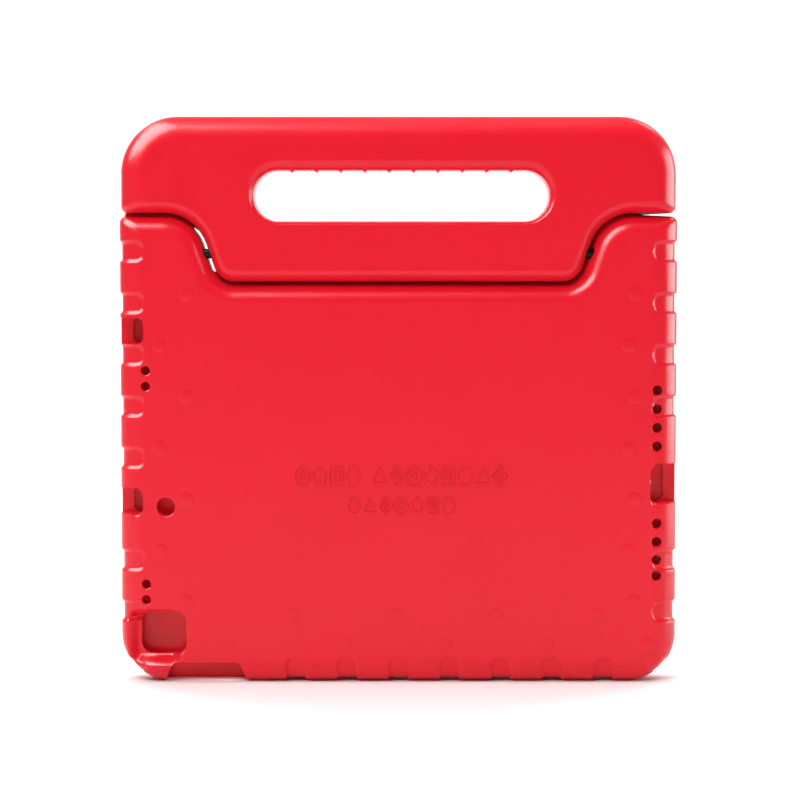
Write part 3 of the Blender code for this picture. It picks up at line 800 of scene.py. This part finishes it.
def build_foam_body(options):
    stations = beaded_stations(BODY_BEAD)
    shape = extruded(body_corners(options.groove_width), stations, least_fillet=TIP_CORNER)
    divide_back_corner(shape)
    press_grooves(shape, options.groove_width, options.groove_depth)
    gap_bead(shape, BODY_BEAD, on_handle=False)
    press_dish(shape)
    body = mesh_object("case_foam", shape)
    cutters = [
        *tray_cutters(),
        camera_window_cutter(),
        volume_cutter(),
        *port_cutters(1, BAY_MIDDLE_Z + 0.0008, 0.0127, 0.0184, 0.0026, 0.6),
        *port_cutters(-1, BAY_TOP_Z - 0.0139, 0.0115, 0.0122, 0.0012),
        *port_cutters(-1, BAY_MIDDLE_Z - 0.0074, 0.0110, 0.0122, 0.0020, 0.5),
        sound_hole_cutter(),
        ear_hollow(-1),
        ear_hollow(1),
    ]
    for cutter in cutters:
        combine(body, "DIFFERENCE", cutter)
    marks = bmesh.new()
    radius, mark_height = 0.0034, 0.00022
    for x, z in cushion_places():
        dome(x, BACK_Y, z, radius, mark_height, marks)
        dome(x, BAY_FLOOR_Y, z, radius, options.stud_height, marks)
    combine(body, "UNION", marks)
    combine(body, "UNION", emblem_beads(options.emblem_height))
    return body


# The foam handle


def slot_cutter(rib_height):
    """The grip slot with its flared rims, and the finger ribs along its top wall."""
    low, high = OPENINGS["grip_slot"]
    x, z = (low[0] + high[0]) / 2, (low[2] + high[2]) / 2
    length, height = 0.1362, 0.0231
    rib_pitch, rib_half, rib_count = 0.0112, 0.0011, 10
    first = x - rib_pitch * (rib_count - 1) / 2
    ribs = [first + rib_pitch * step for step in range(rib_count)]
    top_z = z + height / 2
    steps = [rib_half * share / 4 for share in range(-4, 5)]
    crest = [(rib + step, top_z, 0) for rib in reversed(ribs) for step in reversed(steps)]
    corners = rectangle(x, z, length, height, height / 2 - SMALLEST_FILLET)
    corners = corners[:3] + crest + corners[3:]
    rim_depth, rim_reach, fade_height = 0.0050, 0.0036, 0.0012
    rim = rounding(rim_depth, rim_reach, 12)
    back = [(BACK_Y - OVERCUT, -rim_reach)] + [(BACK_Y + depth, -inset) for depth, inset in rim]
    front = [(-y, inset) for y, inset in reversed(back)]
    shape = extruded(corners, back + front, lean=(0.0, 0.45))
    for vertex in shape.verts:
        near = min(abs(vertex.co.x - rib) for rib in ribs)
        above = vertex.co.z - top_z
        if vertex.co.z > z and near < rib_half and above < fade_height:
            fade = smooth(1 - above / fade_height)
            vertex.co.z -= rib_height * fade * math.cos(math.pi / 2 * near / rib_half)
    return shape


def handle_hollow():
    """The hollow along the tongue that the pins, the bushes and the core tube fill."""
    bore = PIN_RADIUS + FIT
    bush_body = 0.0047
    flange_end = BUSH_HIGH.x - bush_body + FIT
    right = [
        (flange_end, TUBE_RADIUS + FIT),
        (flange_end, BUSH_RADIUS + FIT),
        (BUSH_HIGH.x + FIT, BUSH_RADIUS + FIT),
        (BUSH_HIGH.x + FIT, bore),
        (GAP_X + OVERCUT, bore),
    ]
    left = [(-x, radius) for x, radius in reversed(right)]
    return hollow_cutter(left + right)


def build_foam_handle(options):
    shape = extruded(handle_corners(), beaded_stations(HANDLE_BEAD), least_fillet=TIP_CORNER)
    gap_bead(shape, HANDLE_BEAD, on_handle=True)
    handle = mesh_object("handle_foam", shape)
    combine(handle, "DIFFERENCE", slot_cutter(options.rib_height))
    combine(handle, "DIFFERENCE", handle_hollow())
    return handle


# Materials


def new_material(name, colour, roughness, metallic=0.0):
    material = bpy.data.materials.new(name)
    material.use_nodes = True
    shader = material.node_tree.nodes["Principled BSDF"]
    shader.inputs["Base Color"].default_value = (*colour, 1.0)
    shader.inputs["Roughness"].default_value = roughness
    shader.inputs["Metallic"].default_value = metallic
    return material


class NodeChain:
    """Short calls for adding linked nodes to one material."""

    def __init__(self, material):
        self.nodes = material.node_tree.nodes
        self.links = material.node_tree.links
        self.shader = self.nodes["Principled BSDF"]
        self.place = self.nodes.new("ShaderNodeTexCoord").outputs["Object"]

    def noise(self, scale, detail=2.0, stretch=None):
        node = self.nodes.new("ShaderNodeTexNoise")
        node.inputs["Scale"].default_value = scale
        node.inputs["Detail"].default_value = detail
        self.links.new(self.stretched(stretch), node.inputs["Vector"])
        return node.outputs["Fac"]

    def cells(self, scale):
        node = self.nodes.new("ShaderNodeTexVoronoi")
        node.feature = "SMOOTH_F1"
        node.inputs["Scale"].default_value = scale
        node.inputs["Smoothness"].default_value = 0.6
        self.links.new(self.place, node.inputs["Vector"])
        return node.outputs["Distance"]

    def stretched(self, stretch):
        if stretch is None:
            return self.place
        node = self.nodes.new("ShaderNodeMapping")
        node.inputs["Scale"].default_value = stretch
        self.links.new(self.place, node.inputs["Vector"])
        return node.outputs["Vector"]

    def spread(self, value, low, high, to_low=0.0, to_high=1.0):
        node = self.nodes.new("ShaderNodeMapRange")
        self.links.new(value, node.inputs["Value"])
        numbers = {"From Min": low, "From Max": high, "To Min": to_low, "To Max": to_high}
        for name, number in numbers.items():
            node.inputs[name].default_value = number
        return node.outputs["Result"]

    def blend(self, share, first, second):
        node = self.nodes.new("ShaderNodeMix")
        node.data_type = "RGBA"
        self.links.new(share, node.inputs["Factor"])
        node.inputs["A"].default_value = (*first, 1.0)
        node.inputs["B"].default_value = (*second, 1.0)
        return node.outputs["Result"]

    def bump(self, height, distance, strength, below=None):
        node = self.nodes.new("ShaderNodeBump")
        node.inputs["Distance"].default_value = distance
        node.inputs["Strength"].default_value = strength
        self.links.new(height, node.inputs["Height"])
        if below is not None:
            self.links.new(below, node.inputs["Normal"])
        return node.outputs["Normal"]

    def feed(self, output, name):
        self.links.new(output, self.shader.inputs[name])


def foam_material(options):
    """Moulded closed-cell foam: a soft sheen over a finely pebbled, slightly wavy skin."""
    material = new_material("moulded_red_foam", options.foam_colour, 0.42)
    chain = NodeChain(material)
    cloud = chain.spread(chain.noise(22.0, 2.0), 0.15, 0.85)
    chain.feed(chain.blend(cloud, options.foam_colour, options.foam_shade), "Base Color")
    patches = chain.noise(60.0, 2.0)
    chain.feed(chain.spread(patches, 0.15, 0.85, 0.20, 0.27), "Roughness")
    waves = chain.bump(chain.noise(26.0, 0.0), 0.0010, 0.15)
    pebbles = chain.bump(chain.cells(1500.0), 0.00012, 0.28, waves)
    grain = chain.bump(chain.noise(5200.0, 2.0), 0.00006, 0.25, pebbles)
    chain.feed(grain, "Normal")
    chain.shader.inputs["Specular IOR Level"].default_value = 0.32
    chain.shader.inputs["Sheen Weight"].default_value = 0.04
    chain.shader.inputs["Sheen Roughness"].default_value = 0.5
    return material


def blackened_steel_material(options):
    """Blackened steel with fine turning marks around the pin."""
    material = new_material("blackened_steel", options.pin_colour, 0.35, 0.85)
    chain = NodeChain(material)
    marks = chain.noise(1.0, 2.0, stretch=(9000.0, 300.0, 300.0))
    chain.feed(chain.spread(marks, 0.3, 0.7, 0.26, 0.42), "Roughness")
    chain.feed(chain.bump(marks, 0.00002, 0.3), "Normal")
    return material


def moulded_plastic_material():
    """Matt black nylon with a spark-eroded texture."""
    material = new_material("black_nylon", (0.012, 0.012, 0.013), 0.5)
    chain = NodeChain(material)
    grain = chain.noise(3500.0, 3.0)
    chain.feed(chain.spread(grain, 0.3, 0.7, 0.42, 0.58), "Roughness")
    chain.feed(chain.bump(grain, 0.00003, 0.4), "Normal")
    return material


def rubber_material():
    """Matt black rubber with a dusty bloom."""
    material = new_material("black_ring_rubber", (0.016, 0.016, 0.016), 0.7)
    chain = NodeChain(material)
    bloom = chain.noise(900.0, 4.0)
    dark, dusty = (0.014, 0.014, 0.014), (0.03, 0.03, 0.03)
    chain.feed(chain.blend(chain.spread(bloom, 0.35, 0.7), dark, dusty), "Base Color")
    chain.feed(chain.spread(bloom, 0.3, 0.7, 0.62, 0.8), "Roughness")
    return material


def spring_steel_material():
    """Bright spring steel with rolling marks."""
    material = new_material("bright_spring_steel", (0.45, 0.45, 0.46), 0.28, 1.0)
    chain = NodeChain(material)
    marks = chain.noise(1.0, 2.0, stretch=(400.0, 6000.0, 400.0))
    chain.feed(chain.spread(marks, 0.3, 0.7, 0.2, 0.38), "Roughness")
    return material


def drawn_tube_material():
    """Drawn aluminium tube, with marks along its length."""
    material = new_material("drawn_aluminium", (0.76, 0.76, 0.78), 0.32, 1.0)
    chain = NodeChain(material)
    marks = chain.noise(1.0, 3.0, stretch=(60.0, 5000.0, 5000.0))
    chain.feed(chain.spread(marks, 0.3, 0.7, 0.24, 0.4), "Roughness")
    chain.feed(chain.bump(marks, 0.00002, 0.3), "Normal")
    return material


def shared_material(name, make, *arguments):
    """The material of that name, which is made the first time it is asked for."""
    return bpy.data.materials.get(name) or make(*arguments)


# Stage


def add_area_light(name, place, target, size, power, glossy=True, diffuse=True):
    """A softbox. Some only fill in the shading, and some only give the highlights."""
    data = bpy.data.lights.new(name, "AREA")
    data.shape = "RECTANGLE"
    data.size, data.size_y = size
    data.energy = power
    lamp = bpy.data.objects.new(name, data)
    lamp.location = place
    lamp.rotation_euler = (Vector(target) - Vector(place)).to_track_quat("-Z", "Y").to_euler()
    lamp.visible_glossy = glossy
    lamp.visible_diffuse = diffuse
    bpy.context.scene.collection.objects.link(lamp)


def add_sweep():
    """A pale floor that curves up into a backdrop behind the case."""
    shape = bmesh.new()
    half_width, front, bend_start, bend, rise, steps = 4.0, -4.0, 2.4, 0.9, 3.2, 16
    profile = [(front, 0.0), (bend_start, 0.0)]
    for step in range(1, steps + 1):
        angle = math.pi / 2 * step / steps
        profile.append((bend_start + bend * math.sin(angle), bend - bend * math.cos(angle)))
    profile.append((bend_start + bend, rise))
    points = [shape.verts.new((-half_width, y, z)) for y, z in profile]
    edges = [shape.edges.new(pair) for pair in zip(points, points[1:])]
    made = bmesh.ops.extrude_edge_only(shape, edges=edges)["geom"]
    far_side = [item for item in made if isinstance(item, bmesh.types.BMVert)]
    bmesh.ops.translate(shape, verts=far_side, vec=(2 * half_width, 0, 0))
    floor = mesh_object("studio_floor", shape)
    floor.data.shade_smooth()
    floor.data.materials.append(new_material("pale_floor", (0.84, 0.84, 0.84), 0.8))


# Operators


class CASE_OT_stage(bpy.types.Operator):
    """Add the pale sweep, the soft lights and the camera"""

    bl_idname = "foam_case.stage"
    bl_label = "Add stage"

    def execute(self, context):
        add_sweep()
        scene = context.scene
        middle = Vector((0.0, 0.0, TOP_Z / 2))
        add_area_light("key_softbox", (-0.5, -1.3, 1.7), middle, (0.8, 0.8), 22.0, glossy=False)
        add_area_light("top_fill", (0.0, 0.3, 2.2), (0.0, 0.1, 0.0), (2.0, 2.0), 50.0, glossy=False)
        add_area_light("corner_softbox", (-0.90, -0.40, 1.21), middle, (1.3, 1.3), 95.0, diffuse=False)
        beside, edge = (1.25, 0.10, 0.25), (0.0, 0.10, 0.2)
        add_area_light("right_softbox", beside, edge, (1.1, 1.0), 34.0, diffuse=False)
        for side in (-1, 1):
            above, wall = (side * 1.4, 1.3, 2.2), (side * 0.4, 3.3, 0.6)
            add_area_light("backdrop_light", above, wall, (1.0, 0.6), 40.0)
        world = bpy.data.worlds.new("studio")
        world.use_nodes = True
        world.node_tree.nodes["Background"].inputs["Color"].default_value = (1.0, 1.0, 1.0, 1.0)
        world.node_tree.nodes["Background"].inputs["Strength"].default_value = 0.24
        scene.world = world
        scene.view_settings.view_transform = "Standard"

        distance, view_width = 1.25, 0.3726
        tilt = math.radians(3.4)
        target = Vector((0.0007, 0.0, 0.1307))
        data = bpy.data.cameras.new("camera")
        data.sensor_width = 36.0
        data.lens = data.sensor_width * distance / view_width
        camera = bpy.data.objects.new("camera", data)
        camera.location = target + distance * Vector((0.0, -math.cos(tilt), math.sin(tilt)))
        camera.rotation_euler = (math.pi / 2 - tilt, 0.0, 0.0)
        scene.collection.objects.link(camera)
        scene.camera = camera
        return {"FINISHED"}


class CASE_OT_foam_body(bpy.types.Operator):
    """Model the foam tray with its ears, grooves and cut-outs"""

    bl_idname = "foam_case.foam_body"
    bl_label = "Build foam body"

    def execute(self, context):
        options = settings()
        body = build_foam_body(options)
        foam = shared_material("moulded_red_foam", foam_material, options)
        finished(body, foam, "case", ["foam_body"])
        return {"FINISHED"}


class CASE_OT_foam_handle(bpy.types.Operator):
    """Model the foam handle with its grip slot and tongue"""

    bl_idname = "foam_case.foam_handle"
    bl_label = "Build foam handle"

    def execute(self, context):
        options = settings()
        handle = build_foam_handle(options)
        foam = shared_material("moulded_red_foam", foam_material, options)
        finished(handle, foam, "handle", ["foam_handle"])
        return {"FINISHED"}


class CASE_OT_hardware(bpy.types.Operator):
    """Give the hinge's hardware its finishes"""

    bl_idname = "foam_case.hardware"
    bl_label = "Finish hinge hardware"

    def execute(self, context):
        options = settings()
        finishes = {
            "hinge_pin": blackened_steel_material(options),
            "ear_socket": moulded_plastic_material(),
            "handle_bush": shared_material("black_nylon", moulded_plastic_material),
            "friction_ring": rubber_material(),
            "retaining_ring": spring_steel_material(),
            "handle_core_tube": drawn_tube_material(),
        }
        for name, node in frame["nodes"].items():
            for start, material in finishes.items():
                if name.startswith(start):
                    node.data.materials.clear()
                    node.data.materials.append(material)
        return {"FINISHED"}


class CASE_PT_panel(bpy.types.Panel):
    """Sidebar panel with the case's settings and steps"""

    bl_idname = "CASE_PT_panel"
    bl_label = "Foam Case"
    bl_space_type = "VIEW_3D"
    bl_region_type = "UI"
    bl_category = "Foam Case"

    def draw(self, context):
        options = settings()
        for name in FoamCaseSettings.__annotations__:
            self.layout.prop(options, name)
        for operator in OPERATORS:
            self.layout.operator(operator.bl_idname)


OPERATORS = (CASE_OT_stage, CASE_OT_foam_body, CASE_OT_foam_handle, CASE_OT_hardware)
CLASSES = (FoamCaseSettings, *OPERATORS, CASE_PT_panel)


def register():
    for item in CLASSES:
        bpy.utils.register_class(item)
    bpy.types.Scene.foam_case = bpy.props.PointerProperty(type=FoamCaseSettings)


def unregister():
    del bpy.types.Scene.foam_case
    for item in reversed(CLASSES):
        bpy.utils.unregister_class(item)


def main():
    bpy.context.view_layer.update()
    register()
    bpy.ops.foam_case.stage()
    bpy.ops.foam_case.foam_body()
    bpy.ops.foam_case.foam_handle()
    bpy.ops.foam_case.hardware()


if __name__ == "__main__":
    main()
